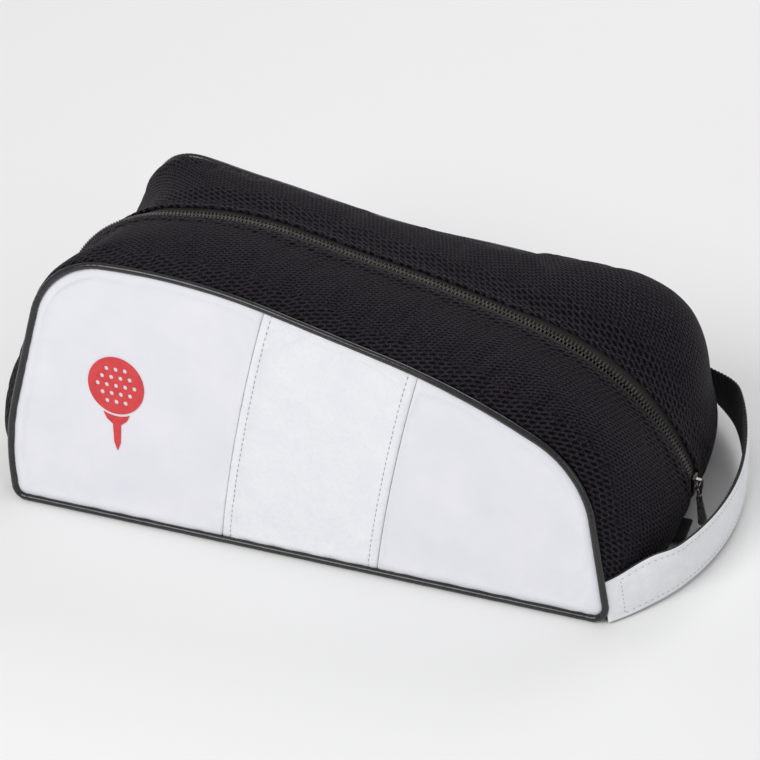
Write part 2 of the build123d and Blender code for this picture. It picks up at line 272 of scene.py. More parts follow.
def make_piece(name, vertices, faces, material, weave=None, level=0):
    """A smooth-shaded mesh object. weave holds the cloth's own coordinates in metres."""
    mesh = bpy.data.meshes.new(name)
    mesh.from_pydata(np.asarray(vertices, float).reshape(-1, 3).tolist(), [], faces)
    weave = vertices if weave is None else weave
    attribute = mesh.attributes.new("weave", "FLOAT_VECTOR", "POINT")
    attribute.data.foreach_set("vector", np.asarray(weave, np.float32).ravel())
    work = bmesh.new()
    work.from_mesh(mesh)
    bmesh.ops.recalc_face_normals(work, faces=work.faces)
    work.to_mesh(mesh)
    work.free()
    mesh.shade_smooth()
    mesh.materials.append(material)
    piece = bpy.data.objects.new(name, mesh)
    bpy.context.scene.collection.objects.link(piece)
    if level:
        piece.modifiers.new("subdivision", "SUBSURF").levels = level
        piece.modifiers["subdivision"].render_levels = level
    return piece


def rim_of(index):
    """The vertex numbers round the edge of a table, in order."""
    return np.concatenate([index[:-1, 0], index[-1, :-1], index[:0:-1, -1], index[0, :0:-1]])


def shell_faces(rows, columns):
    """Faces of a closed shell: an outer grid, an inner grid after it and a wall between their rims."""
    outer, inner = table(rows, columns), table(rows, columns, rows * columns)
    rim, inner_rim = rim_of(outer), rim_of(inner)
    wall = np.stack([rim, np.roll(rim, -1), np.roll(inner_rim, -1), inner_rim], -1)
    return quads(outer) + quads(inner) + wall.tolist()


def make_shell(name, outer, inner, material, weave, level=0):
    vertices = np.vstack([outer.reshape(-1, 3), inner.reshape(-1, 3)])
    weave = np.vstack([weave.reshape(-1, 3)] * 2)
    return make_piece(name, vertices, shell_faces(*outer.shape[:2]), material, weave, level)


def in_plane(x, y):
    return np.stack([x, y, 0 * x], -1)


def tube(points, side_a, side_b, width, height, segments=12, closed=False):
    """Vertices and faces of a tube along points, with an elliptical section."""
    angles = np.arange(segments)[:, None] / segments * 2 * np.pi
    width, height = np.reshape(width, (-1, 1, 1)), np.reshape(height, (-1, 1, 1))
    ring = side_a[:, None] * np.cos(angles) * width + side_b[:, None] * np.sin(angles) * height
    index = table(len(points), segments)
    index = np.hstack([index, index[:, :1]])
    faces = quads(np.vstack([index, index[:1]]) if closed else index)
    if not closed:
        faces += index[[0, -1], :-1].tolist()
    return (points[:, None] + ring).reshape(-1, 3), faces


def copies(template, faces, origins, frames):
    """One mesh of many copies: frames holds each copy's x, y and z directions."""
    placed = np.einsum("vk,nkc->nvc", template, frames) + origins[:, None]
    starts = range(0, len(template) * len(origins), len(template))
    joined = [[i + start for i in face] for start in starts for face in faces]
    return placed.reshape(-1, 3), joined


def bead(segments=8, rings=5):
    """A unit sphere as vertices and faces."""
    polar = np.arange(1, rings + 1)[:, None] / (rings + 1) * np.pi
    turn = np.arange(segments) / segments * 2 * np.pi
    ring = [np.cos(polar) + 0 * turn, np.sin(polar) * np.cos(turn), np.sin(polar) * np.sin(turn)]
    vertices = np.vstack([np.stack(ring, -1).reshape(-1, 3), [[1, 0, 0], [-1, 0, 0]]])
    index = table(rings, segments)
    index = np.hstack([index, index[:, :1]])
    faces = quads(index)
    for pole, row in ((rings * segments, index[0]), (rings * segments + 1, index[-1])):
        faces += [[pole, int(a), int(b)] for a, b in zip(row, row[1:])]
    return vertices, faces


class Surface:
    """A finished piece that other pieces are laid on."""

    def __init__(self, piece):
        shown = piece.evaluated_get(bpy.context.evaluated_depsgraph_get())
        mesh = shown.to_mesh()
        points = [vertex.co.copy() for vertex in mesh.vertices]
        self.tree = BVHTree.FromPolygons(points, [tuple(face.vertices) for face in mesh.polygons])
        shown.to_mesh_clear()

    def under(self, points, normals, reach=12 * MM):
        """Where lines dropped along -normals from above the points meet the surface."""
        found = np.array(points, float)
        for i, (point, normal) in enumerate(zip(points, np.broadcast_to(normals, np.shape(points)))):
            hit = self.tree.ray_cast(Vector(point + normal * reach), Vector(-normal), 2 * reach)[0]
            if hit is not None:
                found[i] = hit
        return found


def stitches(name, points, along, normals, material, length=2.3 * MM, thickness=0.5 * MM):
    """Thread showing between two needle holes, one bead at each point."""
    vertices, faces = bead()
    vertices = vertices * [length / 2, thickness / 2, thickness / 2]
    across = unit(np.cross(normals, along))
    frames = np.stack([along, across, unit(np.cross(along, across))], 1)
    return make_piece(name, *copies(vertices, faces, points, frames), material)


def fold_with_half(piece, name, slot, node=None):
    """A piece of half of the bag, its transform baked into its mesh; the CAD node it stands in for is hidden."""
    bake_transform(piece)
    if node:
        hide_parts(node)


# ---------------------------------------------------------------- cloth simulation
def simulate(jobs):
    """Runs all jobs' cloth together. A job is (points, faces, pinned, pressure, shrink, cap)."""
    made = []
    for number, (points, faces, pinned, pressure, shrink, _) in enumerate(jobs):
        mesh = bpy.data.meshes.new(f"cloth_{number}")
        mesh.from_pydata((points * SIM_SCALE).tolist(), [], faces)
        cloth = bpy.data.objects.new(f"cloth_{number}", mesh)
        bpy.context.scene.collection.objects.link(cloth)
        cloth.vertex_groups.new(name="pin").add([int(i) for i in pinned], 1.0, "REPLACE")
        settings = cloth.modifiers.new("cloth", "CLOTH").settings
        settings.vertex_group_mass = "pin"
        settings.effector_weights.gravity = 0
        settings.use_pressure = True
        settings.uniform_pressure_force = pressure
        settings.shrink_min = shrink
        settings.bending_stiffness = 1.5
        made.append(cloth)
    for step in range(1, SIM_FRAMES + 1):
        bpy.context.scene.frame_set(step)
    results = []
    depsgraph = bpy.context.evaluated_depsgraph_get()
    for cloth, (points, *_, cap) in zip(made, jobs):
        mesh = cloth.evaluated_get(depsgraph).data
        moved = np.zeros(len(mesh.vertices) * 3)
        mesh.vertices.foreach_get("co", moved)
        shift = moved.reshape(-1, 3) / SIM_SCALE - points
        size = norm(shift)[:, None] + 1e-12
        results.append(points + shift / size * cap * np.tanh(size / cap))
        bpy.data.objects.remove(cloth)
    bpy.context.scene.frame_set(1)
    return results


# ---------------------------------------------------------------- materials
class Finish:
    """A Principled material with the nodes that feed it."""

    def __init__(self, name, colour, roughness, **sockets):
        self.material = bpy.data.materials.new(name)
        self.material.use_nodes = True
        self.tree = self.material.node_tree
        self.surface = self.tree.nodes["Principled BSDF"]
        self.set("Base Color", (*colour, 1))
        self.set("Roughness", roughness)
        for socket, value in sockets.items():
            self.set(socket.replace("_", " "), value)

    def feed(self, socket, value):
        if isinstance(value, bpy.types.NodeSocket):
            self.tree.links.new(value, socket)
        else:
            socket.default_value = value

    def set(self, socket, value):
        self.feed(self.surface.inputs[socket], value)

    def node(self, kind, inputs=None, output=0, **settings):
        made = self.tree.nodes.new(kind)
        for name, value in settings.items():
            setattr(made, name, value)
        for socket, value in (inputs or {}).items():
            self.feed(made.inputs[socket], value)
        return made.outputs[output]

    def separate(self, where):
        made = self.tree.nodes.new("ShaderNodeSeparateXYZ")
        self.tree.links.new(where, made.inputs[0])
        return made.outputs

    def weave(self):
        """The cloth's own coordinates."""
        return self.node("ShaderNodeAttribute", output=1, attribute_name="weave")

    def space(self):
        return self.node("ShaderNodeTexCoord", output="Object")

    def math(self, operation, a, b=0.0):
        return self.node("ShaderNodeMath", {0: a, 1: b}, operation=operation)

    def spread(self, value, low, high, to_low=0.0, to_high=1.0):
        inputs = {"Value": value, "From Min": low, "From Max": high, "To Min": to_low, "To Max": to_high}
        return self.node("ShaderNodeMapRange", inputs)

    def noise(self, where, size, detail=3.0, roughness=0.55):
        inputs = {"Vector": where, "Scale": 1 / size, "Detail": detail, "Roughness": roughness}
        return self.node("ShaderNodeTexNoise", inputs)

    def streaks(self, where, size, detail, roughness):
        """Noise drawn out along z."""
        drawn = self.node("ShaderNodeMapping", {"Vector": where, "Scale": (1, 1, 0.12)})
        return self.noise(drawn, size, detail, roughness)

    def cells(self, where, size, feature="F1", randomness=1.0):
        inputs = {"Vector": where, "Scale": 1 / size, "Randomness": randomness}
        return self.node("ShaderNodeTexVoronoi", inputs, feature=feature)

    def bands(self, where, size, direction="X"):
        inputs = {"Vector": where, "Scale": 1 / (size * 20) * math.pi * 2}
        return self.node("ShaderNodeTexWave", inputs, 1, wave_type="BANDS", bands_direction=direction)

    def blend(self, factor, first, second):
        colours = [c if isinstance(c, bpy.types.NodeSocket) else (*c, 1) for c in (first, second)]
        inputs = {0: factor, 6: colours[0], 7: colours[1]}
        return self.node("ShaderNodeMix", inputs, 2, data_type="RGBA")

    def bump(self, *layers):
        """Stacks (height, depth in metres, strength) layers of relief."""
        normal = None
        for height, depth, strength in layers:
            inputs = {"Height": height, "Distance": depth, "Strength": strength}
            if normal is not None:
                inputs["Normal"] = normal
            normal = self.node("ShaderNodeBump", inputs)
        self.set("Normal", normal)


def finished(name, colour, roughness, textures, tone, shine=None, relief=(), space=False, **sockets):
    """A material whose tone, roughness and relief come from a few named textures.

    A texture is (kind, size in mm, *its further values). tone is (texture, low, high, dark, light),
    shine is (texture, low, high, roughness at low, at high) and relief holds (texture, depth in mm,
    strength, *the range it is spread from). space is for CAD nodes, which have no weave.
    """
    finish = Finish(name, colour, roughness, **sockets)
    where = finish.space() if space else finish.weave()
    kinds = {"noise": finish.noise, "cells": finish.cells, "streaks": finish.streaks}
    made = {key: kinds[kind](where, size * MM, *more) for key, (kind, size, *more) in textures.items()}
    source, low, high, dark, light = tone
    finish.set("Base Color", finish.blend(finish.spread(made[source], low, high), dark, light))
    if shine:
        finish.set("Roughness", finish.spread(made[shine[0]], *shine[1:]))
    layers = []
    for source, depth, strength, *span in relief:
        height = finish.spread(made[source], *span) if span else made[source]
        layers.append((height, depth * MM, strength))
    finish.bump(*layers)
    return finish.material


def piping_vinyl(name, space=False):
    textures = {
        "ripple": ("noise", 5, 4),
        "grain": ("noise", 0.5, 2),
        "wear": ("noise", 12, 6, 0.75),
    }
    return finished(
        name, (0.01, 0.01, 0.011), 0.24, textures, space=space,
        tone=("wear", 0.5, 0.8, (0.007, 0.007, 0.008), (0.022, 0.022, 0.024)),
        shine=("ripple", 0.3, 0.7, 0.18, 0.34),
        relief=[("ripple", 0.35, 0.3), ("grain", 0.03, 0.4)],
        Coat_Weight=0.15, Coat_Roughness=0.12,
    )


def thread(name, colour):
    return finished(
        name, colour, 0.6, {"twist": ("noise", 0.25, 3, 0.7), "soil": ("noise", 10, 4)},
        tone=("soil", 0.35, 0.7, tuple(0.75 * c for c in colour), colour),
        relief=[("twist", 0.12, 0.7)],
        Sheen_Weight=0.2, Sheen_Roughness=0.4,
    )


def knit_slots(finish, where, slot_pitch, row_pitch):
    """Open slots of a knit in staggered rows: 1 inside a slot, 0 on the yarn."""
    along, across, _ = finish.separate(where)
    row = finish.math("DIVIDE", across, row_pitch)
    shifted = finish.math("MULTIPLY", finish.math("FLOOR", row), 0.5)
    column = finish.math("ADD", finish.math("DIVIDE", along, slot_pitch), shifted)
    squares = []
    for cell, half_size in ((column, 0.42), (row, 0.33)):
        off = finish.math("SUBTRACT", finish.math("FRACT", cell), 0.5)
        off = finish.math("DIVIDE", off, half_size)
        squares.append(finish.math("MULTIPLY", off, off))
    return finish.spread(finish.math("ADD", *squares), 1.1, 0.7)


def mesh_fabric():
    """Warp-knitted mesh: a fine grain of slots, opened wide beside the hem and the piping."""
    finish = Finish("mesh_fabric", (0.012, 0.011, 0.016), 0.72, Sheen_Weight=0.03, Sheen_Roughness=0.4)
    finish.set("Specular IOR Level", 0.12)
    where = finish.weave()
    turned = {"Vector": where, "Angle": math.radians(-28)}
    slant = finish.node("ShaderNodeVectorRotate", turned, rotation_type="Z_AXIS")
    _, from_hem, from_piping = finish.separate(where)
    wander = finish.spread(finish.noise(where, 9 * MM, 3), 0.3, 0.7, -4 * MM, 4 * MM)
    by_hem = finish.spread(finish.math("ADD", from_hem, wander), 15 * MM, 19 * MM, 1.0, 0.0)
    by_piping = finish.spread(finish.math("ADD", from_piping, wander), 11 * MM, 15 * MM, 1.0, 0.0)
    stretched = finish.math("MAXIMUM", by_hem, by_piping)
    wide = finish.math("MULTIPLY", knit_slots(finish, slant, 4.8 * MM, 2.6 * MM), stretched)
    fine = finish.math("MULTIPLY", knit_slots(finish, slant, 3.1 * MM, 1.9 * MM), 0.9)
    fine = finish.math("MULTIPLY", fine, finish.math("SUBTRACT", 1.0, stretched))
    open_slot = finish.math("ADD", wide, fine)
    yarn = finish.cells(slant, 0.75 * MM, "F1", 0.6)
    loops = finish.spread(yarn, 0.15, 0.6, 1.0, 0.0)
    fuzz_and_sparkle = finish.noise(where, 0.5 * MM, 3, 0.7)
    # Painted highlight and shade: the tops of the yarn loops are coloured purple-grey as if lit, and the yarn
    # between them near-black as if shaded.
    yarn_highlight_tone = finish.blend(loops, (0.0042, 0.0032, 0.0052), (0.058, 0.045, 0.064))
    # Painted glints: small light specks of sparkle scattered over the yarn.
    painted_sparkle = finish.spread(fuzz_and_sparkle, 0.6, 0.8)
    sparkled_yarn = finish.blend(painted_sparkle, yarn_highlight_tone, (0.09, 0.074, 0.096))
    finish.set("Base Color", finish.blend(open_slot, sparkled_yarn, (0.0012, 0.0011, 0.0015)))
    finish.set("Roughness", finish.spread(open_slot, 0, 1, 0.62, 0.95))
    height = finish.math("SUBTRACT", finish.math("MULTIPLY", loops, 0.45), open_slot)
    finish.bump((height, 0.8 * MM, 0.85), (fuzz_and_sparkle, 0.15 * MM, 0.4))
    return finish.material


def woven(name, dark, light, size, depth, space=False):
    """Plain weave of two crossing sets of ribs."""
    finish = Finish(name, dark, 0.8, Sheen_Weight=0.1, Sheen_Roughness=0.5)
    where = finish.space() if space else finish.weave()
    warp = finish.bands(where, size)
    weft = finish.bands(where, size * 0.8, "DIAGONAL" if space else "Y")
    height = finish.math("MULTIPLY", warp, weft)
    fibre = finish.noise(where, size * 0.6, 4, 0.7)
    tone = finish.math("MULTIPLY", height, finish.spread(fibre, 0.2, 0.8, 0.5, 1.2))
    finish.set("Base Color", finish.blend(tone, dark, light))
    finish.set("Roughness", finish.spread(fibre, 0.3, 0.7, 0.72, 0.9))
    finish.bump((height, depth, 0.8), (fibre, depth * 0.4, 0.4))
    return finish.material


PU_MATTE = finished(
    "pu_matte", (0.78, 0.78, 0.83), 0.5,
    {
        "grain": ("cells", 0.9, "DISTANCE_TO_EDGE"),
        "pores": ("noise", 0.45, 2),
        "mottle": ("noise", 38, 4),
        "handled": ("noise", 9, 5, 0.7),
    },
    tone=("mottle", 0.35, 0.68, (0.755, 0.755, 0.815), (0.80, 0.80, 0.845)),
    shine=("handled", 0.3, 0.75, 0.43, 0.58),
    relief=[("grain", 0.05, 0.55, 0, 0.35), ("pores", 0.03, 0.35), ("handled", 0.25, 0.25)],
    Coat_Weight=0.04, Coat_Roughness=0.4,
)
PU_GLOSS = finished(
    "pu_gloss", (0.80, 0.83, 0.86), 0.3,
    {"creases": ("noise", 16, 5, 0.6), "grain": ("noise", 0.6, 2), "scuffs": ("noise", 4, 6, 0.75)},
    tone=("creases", 0.35, 0.7, (0.79, 0.80, 0.845), (0.835, 0.84, 0.87)),
    shine=("scuffs", 0.35, 0.75, 0.22, 0.4),
    relief=[("creases", 0.9, 0.22), ("grain", 0.02, 0.3)],
    Coat_Weight=0.25, Coat_Roughness=0.22,
)
STRAP_PU = finished(
    "strap_pu", (0.72, 0.73, 0.77), 0.42,
    {"grain": ("cells", 0.8, "DISTANCE_TO_EDGE"), "creases": ("noise", 7, 5, 0.65)},
    tone=("creases", 0.3, 0.75, (0.75, 0.76, 0.80), (0.84, 0.85, 0.87)),
    shine=("creases", 0.3, 0.7, 0.34, 0.5),
    relief=[("grain", 0.04, 0.5, 0, 0.3), ("creases", 0.3, 0.3)],
    Coat_Weight=0.1, Coat_Roughness=0.3,
)
PIPING, MESH_FABRIC = piping_vinyl("piping_vinyl"), mesh_fabric()
COIL = finished(
    "nylon_coil", (0.024, 0.023, 0.018), 0.34,
    {"moulding": ("noise", 0.5, 3), "highlight_patches": ("noise", 7, 5, 0.7)},
    # Painted highlight: the nylon's colour is lifted to the lightness of the teeth's highlights, lighter in random
    # patches.
    tone=("highlight_patches", 0.45, 0.75, (0.05, 0.048, 0.041), (0.115, 0.11, 0.096)),
    shine=("moulding", 0.3, 0.7, 0.28, 0.46),
    relief=[("moulding", 0.05, 0.4)],
    Coat_Weight=0.15, Coat_Roughness=0.25,
)
GUNMETAL = finished(
    "gunmetal", (0.17, 0.165, 0.16), 0.26,
    {"scratches": ("streaks", 0.16, 4, 0.7), "rubbed": ("noise", 2.2, 6, 0.75)},
    tone=("rubbed", 0.45, 0.75, (0.12, 0.115, 0.11), (0.36, 0.35, 0.34)),
    shine=("scratches", 0.3, 0.7, 0.18, 0.38),
    relief=[("scratches", 0.02, 0.35), ("rubbed", 0.05, 0.2, 0.45, 0.75)],
    space=True, Metallic=1.0,
)
RED_VINYL = finished(
    "red_vinyl", (0.66, 0.03, 0.035), 0.34,
    {"grain": ("noise", 0.8, 3), "wear": ("noise", 6, 6, 0.7)},
    tone=("wear", 0.35, 0.75, (0.58, 0.022, 0.03), (0.74, 0.05, 0.05)),
    shine=("wear", 0.35, 0.75, 0.28, 0.42),
    relief=[("grain", 0.04, 0.5)],
    Coat_Weight=0.2, Coat_Roughness=0.2,
)
BASE_PU = finished(
    "base_pu", (0.02, 0.02, 0.022), 0.55,
    {"pebbles": ("cells", 1.6, "DISTANCE_TO_EDGE"), "dust": ("noise", 14, 6, 0.75)},
    tone=("dust", 0.45, 0.8, (0.018, 0.018, 0.02), (0.06, 0.058, 0.055)),
    shine=("dust", 0.45, 0.8, 0.48, 0.7),
    relief=[("pebbles", 0.25, 0.7, 0, 0.3)],
    space=True,
)
FIBRE_BOARD = finished(
    "fibre_board", (0.2, 0.2, 0.2), 0.85, {"fibres": ("noise", 1.2, 6, 0.75)},
    tone=("fibres", 0, 1, (0.12, 0.12, 0.12), (0.27, 0.265, 0.26)),
    relief=[("fibres", 0.2, 0.5)],
    space=True,
)
FOAM_CELLS = finished(
    "open_foam", (0.3, 0.3, 0.32), 0.95, {"bubbles": ("cells", 0.8)},
    tone=("bubbles", 0, 1, (0.16, 0.16, 0.175), (0.4, 0.4, 0.42)),
    relief=[("bubbles", 0.4, 0.8)],
)
TAPE = woven("zipper_tape", (0.006, 0.0056, 0.005), (0.019, 0.018, 0.0155), 0.9 * MM, 0.15 * MM)
WEBBING_TONES = (0.008, 0.008, 0.009), (0.05, 0.05, 0.055)
RIBBED = woven("ribbed_webbing", *WEBBING_TONES, 1.2 * MM, 0.3 * MM)
RIBBED_TAB = woven("tab_webbing", *WEBBING_TONES, 1 * MM, 0.3 * MM, space=True)
LINING_CLOTH = woven("lining_cloth", (0.02, 0.02, 0.023), (0.075, 0.075, 0.085), 0.7 * MM, 0.1 * MM)
WHITE_THREAD = thread("white_thread", (0.42, 0.42, 0.45))
BLACK_THREAD = thread("black_thread", (0.02, 0.02, 0.022))


# ---------------------------------------------------------------- side panels
class Outline:
    """The side panel's closed outline, drawn in from the middle of the piping."""

    def __init__(self, inset):
        fractions = np.arange(1600) / 1600
        line, heading = loop_path.at(fractions), loop_path.heading(fractions)
        drawn = line + left_of(heading) * inset
        gaps = norm(drawn[:, None] - line[None]).min(1)
        self.points = drawn[gaps > inset - 0.05 * MM]

    def nearest(self, point):
        return int(np.argmin(norm(self.points - point)))

    def between(self, first, last):
        """The outline's points from one corner to another, anticlockwise."""
        start, end = self.nearest(first), self.nearest(last)
        count = (end - start) % len(self.points)
        return self.points[(start + np.arange(count + 1)) % len(self.points)]

    def seam_ends(self, x_start):
        """Where a slanted seam meets the outline, at the base and at the top."""
        x, s = self.points.T
        miss = np.abs(x - seam_x(x_start, s))
        return [self.points[np.argmin(miss + far)] for far in (s >= 20 * MM, s <= 60 * MM)]

    def seam(self, x_start, offset, pitch=None):
        """A seam from the base to the top, moved along the panel by offset."""
        low, high = (end[1] for end in self.seam_ends(x_start))
        s = np.linspace(low, high, int((high - low) / pitch) if pitch else 40)
        return np.stack([seam_x(x_start, s) + offset, s], -1)


def seam_x(x_start, s):
    """A seam leans towards the toe end, the more so the higher it is."""
    return x_start + SEAM_SLOPE * s + SEAM_CURVE * s**2


def spaced(line, fractions):
    reached = reach_of(line)
    return read_line(line, reached / reached[-1], fractions)


def patch(bottom, right, top, left, across, upward):
    """A grid that fills four boundary lines (a Coons patch)."""
    bottom, top = spaced(bottom, across)[:, None], spaced(top, across)[:, None]
    left, right = spaced(left, upward)[None], spaced(right, upward)[None]
    u, v = across[:, None, None], upward[None, :, None]
    corners = (1 - u) * (1 - v) * bottom[:1] + u * (1 - v) * bottom[-1:]
    corners = corners + (1 - u) * v * top[:1] + u * v * top[-1:]
    return (1 - v) * bottom + v * top + (1 - u) * left + u * right - corners


def graded(count):
    """Fractions from 0 to 1, closer together near the ends."""
    even = np.linspace(0, 1, count)
    return 0.55 * even + 0.45 * (0.5 - 0.5 * np.cos(np.pi * even))


TOE_BASE, HEEL_BASE = np.array([(toe_end, LOOP_BASE), (heel_end, LOOP_BASE)]) * MM
TOE_TOP, HEEL_TOP = np.array([SIDE_OUTLINE[1], SIDE_OUTLINE[4]]) * MM
SEAM_GAP = 0.02 * MM
PANEL_INSET = 1.5 * MM
STITCH_FROM_SEAM = 5 * MM
STITCH_PITCH = 3.1 * MM
THREAD_LIFT = 0.05 * MM
PINNED_RIM = 5 * MM


def panel_grid(part):
    """The flat grid of one of the three panels of a side, with its distances to edge and seam."""
    outline = Outline(PANEL_INSET)
    front_low, front_high = outline.seam_ends(FRONT_SEAM_X)
    rear_low, rear_high = outline.seam_ends(REAR_SEAM_X)
    across = graded(62)
    if part == "heel":
        lines = (
            outline.between(HEEL_BASE, front_low),
            outline.seam(FRONT_SEAM_X, -SEAM_GAP),
            outline.between(front_high, HEEL_TOP)[::-1],
            outline.between(HEEL_TOP, HEEL_BASE)[::-1],
        )
    elif part == "centre":
        edge = np.array([0, 0.012, 0.028, 0.043, 0.054, 0.065, 0.082])
        across = np.concatenate([edge, np.linspace(0.105, 0.895, 38), 1 - edge[::-1]])
        lines = (
            outline.between(front_low, rear_low),
            outline.seam(REAR_SEAM_X, -SEAM_GAP),
            outline.between(rear_high, front_high)[::-1],
            outline.seam(FRONT_SEAM_X, SEAM_GAP),
        )
    else:
        lines = (
            outline.between(rear_low, TOE_BASE),
            outline.between(TOE_BASE, TOE_TOP),
            outline.between(TOE_TOP, rear_high)[::-1],
            outline.seam(REAR_SEAM_X, SEAM_GAP),
        )
    flat = patch(*lines, across, graded(64))
    edge = norm(flat[:, :, None] - outline.points[::4]).min(-1)
    seams = [np.abs(flat[..., 0] - seam_x(x, flat[..., 1])) for x in (FRONT_SEAM_X, REAR_SEAM_X)]
    return flat, edge, np.minimum(*seams)


def panel_height(part, edge, seam):
    """How far the padding stands proud of the panel's plane before it is simulated."""
    crown = 2.6 * MM * (1 - np.exp(-edge / (11 * MM)))
    crown = crown * (1 - 0.45 * np.exp(-seam / (6 * MM)))
    sunk = 0.9 * MM * np.exp(-edge / (1.1 * MM)) + 0.75 * MM * np.exp(-seam / (0.8 * MM))
    if part == "centre":
        sunk = sunk + 0.4 * MM * bell(seam, STITCH_FROM_SEAM, 0.9 * MM)
    return crown - sunk


def panel_job(part, side):
    flat, edge, seam = panel_grid(part)
    rows, columns = edge.shape
    outer = on_side(flat, panel_height(part, edge, seam), side)
    inner = on_side(flat, -SKIN, side)
    index = table(rows, columns)
    pinned = {*rim_of(index), *range(index.size, 2 * index.size), *np.flatnonzero(edge < PINNED_RIM)}
    if part == "centre":
        pinned |= {*index[4, ::2], *index[-5, ::2]}
    points = np.vstack([outer.reshape(-1, 3), inner.reshape(-1, 3)])
    faces = shell_faces(rows, columns)
    if side < 0:
        faces = [face[::-1] for face in faces]
    return flat, (points, faces, pinned, 1.1, -0.012, 2.2 * MM)


def make_panels(name, results):
    surfaces = {}
    for part, (flat, points) in results.items():
        outer, inner = points.reshape(2, *flat.shape[:2], 3)
        skin = PU_GLOSS if part == "centre" else PU_MATTE
        weave = in_plane(*np.moveaxis(flat, -1, 0))
        piece = make_shell(f"padded_{part}_panel_{name}", outer, inner, skin, weave, level=1)
        surfaces[part] = Surface(piece)
        slot = "white_pu_gloss" if part == "centre" else "white_pu_matte"
        fold_with_half(piece, name, slot, f"{part}_panel_{name}")
    return surfaces


def sew_panels(name, surfaces):
    """A topstitch row inside each seam of the centre panel."""
    side = SIDES[name]
    outline = Outline(PANEL_INSET + 2 * MM)
    seams = (FRONT_SEAM_X, STITCH_FROM_SEAM), (REAR_SEAM_X, -STITCH_FROM_SEAM)
    flat = np.vstack([outline.seam(x_start, offset, STITCH_PITCH) for x_start, offset in seams])
    normal = side_normal(side)
    points = surfaces["centre"].under(on_side(flat, 0, side), normal)
    slant = np.stack([SEAM_SLOPE + 2 * SEAM_CURVE * flat[:, 1], 1 + 0 * flat[:, 1]], -1)
    along = unit(on_side(flat + slant * MM, 0, side) - on_side(flat, 0, side))
    normals = np.broadcast_to(normal, points.shape)
    points = points + normal * THREAD_LIFT
    thread_line = stitches(f"panel_stitches_{name}", points, along, normals, WHITE_THREAD)
    fold_with_half(thread_line, name, "white_pu_gloss")


def make_piping(name):
    side = SIDES[name]
    count = 760
    fraction = np.arange(count) / count
    line, heading = loop_path.at(fraction), loop_path.heading(fraction)
    before, after = np.roll(heading, 4, 0), np.roll(heading, -4, 0)
    bending = np.abs(before[:, 0] * after[:, 1] - before[:, 1] * after[:, 0])
    points = on_side(line, 0, side)
    inwards = on_side(line + left_of(heading) * MM, 0, side) - points
    crimp = 1 + 0.05 * np.clip(bending * 4, 0, 1) * np.sin(np.arange(count) * 2 * np.pi / 3.2)
    waver = 1 + 0.015 * np.sin(fraction * 2 * np.pi * 23) + 0.01 * np.sin(fraction * 2 * np.pi * 61)
    normals = np.broadcast_to(side_normal(side), points.shape)
    radius = PIPING_R * crimp * waver
    vertices, faces = tube(points, unit(inwards), normals, radius, radius, 14, closed=True)
    piece = make_piece(f"side_piping_{name}", vertices, faces, PIPING, level=1)
    fold_with_half(piece, name, "piping_vinyl", f"piping_{name}")


def whole_side(inset, columns=90, rows=46):
    outline = Outline(inset)
    lines = (
        outline.between(HEEL_BASE, TOE_BASE),
        outline.between(TOE_BASE, TOE_TOP),
        outline.between(TOE_TOP, HEEL_TOP)[::-1],
        outline.between(HEEL_TOP, HEEL_BASE)[::-1],
    )
    return patch(*lines, np.linspace(0, 1, columns), np.linspace(0, 1, rows))


def make_inside(name):
    """Foam, lining and binding behind a side's three panels."""
    side = SIDES[name]

    def layer(piece, inset, thickness, material, slack=0.0):
        flat = whole_side(inset)
        x, s = np.moveaxis(flat, -1, 0)
        waves = np.sin(x * 95 + 2 * np.sin(s * 60)) * np.sin(s * 120)
        edge = norm(flat[:, :, None] - Outline(inset).points[::6]).min(-1)
        depth = SKIN + slack * smooth(edge / (20 * MM)) * (1 + waves)
        if slack:
            depth = depth + FOAM
        outer, inner = on_side(flat, -depth, side), on_side(flat, -depth - thickness, side)
        return make_shell(f"{piece}_{name}", outer, inner, material, in_plane(x, s), int(slack > 0))

    foam = layer("foam_pad", 4 * MM, FOAM, FOAM_CELLS)
    lining = layer("side_lining", 5 * MM, LINING, LINING_CLOTH, slack=0.35 * MM)
    middle = Outline(8.6 * MM).points
    heading = unit(np.roll(middle, -2, 0) - np.roll(middle, 2, 0))
    points = on_side(middle, -SKIN - FOAM - LINING - 0.5 * MM, side)
    inwards = unit(on_side(middle + left_of(heading) * MM, 0, side) - on_side(middle, 0, side))
    normals = np.broadcast_to(side_normal(side), points.shape)
    vertices, faces = tube(points[::2], inwards[::2], normals[::2], 3.2 * MM, 0.45 * MM, 10, closed=True)
    binding = make_piece(f"inside_binding_{name}", vertices, faces, RIBBED)
    for piece, node, slot in (
        (foam, f"panel_foam_{name}", "foam"),
        (lining, f"panel_lining_{name}", "lining"),
        (binding, f"seam_binding_{name}", "webbing"),
    ):
        fold_with_half(piece, name, slot, node)


# ---------------------------------------------------------------- mesh top
HEM_EDGE = {-1: 7.8 * MM, 1: 4.4 * MM}
HEM_WIDTH = 5 * MM
STITCH_FROM_HEM = 2.4 * MM
MESH_THICKNESS = 1.1 * MM
TOP_ROWS = 300
TOP_COLUMNS = 40


def top_grid(side):
    t = np.linspace(0, 1, TOP_ROWS)[:, None] + np.zeros(TOP_COLUMNS)
    breadth = half_breadth(t, side)
    share = graded(TOP_COLUMNS)[None]
    distance = HEM_EDGE[side] + (breadth - MESH_FROM_PIPING - HEM_EDGE[side]) * share
    return t, distance


def top_job(side):
    t, distance = top_grid(side)
    points = top_point(t, distance, side)
    tucked = 1 - smooth(np.minimum(t, 1 - t) / 0.025)
    points[..., 2] -= tucked * np.clip(points[..., 2] - 4.2 * MM, 0, 2.4 * MM)
    points = points.reshape(-1, 3)
    index = table(TOP_ROWS, TOP_COLUMNS)
    faces = quads(index)
    if side > 0:
        faces = [face[::-1] for face in faces]
    pinned = {*rim_of(index), *index[::3, :6].ravel()}
    return points, faces, pinned, 0.6, -0.02, 3.0 * MM


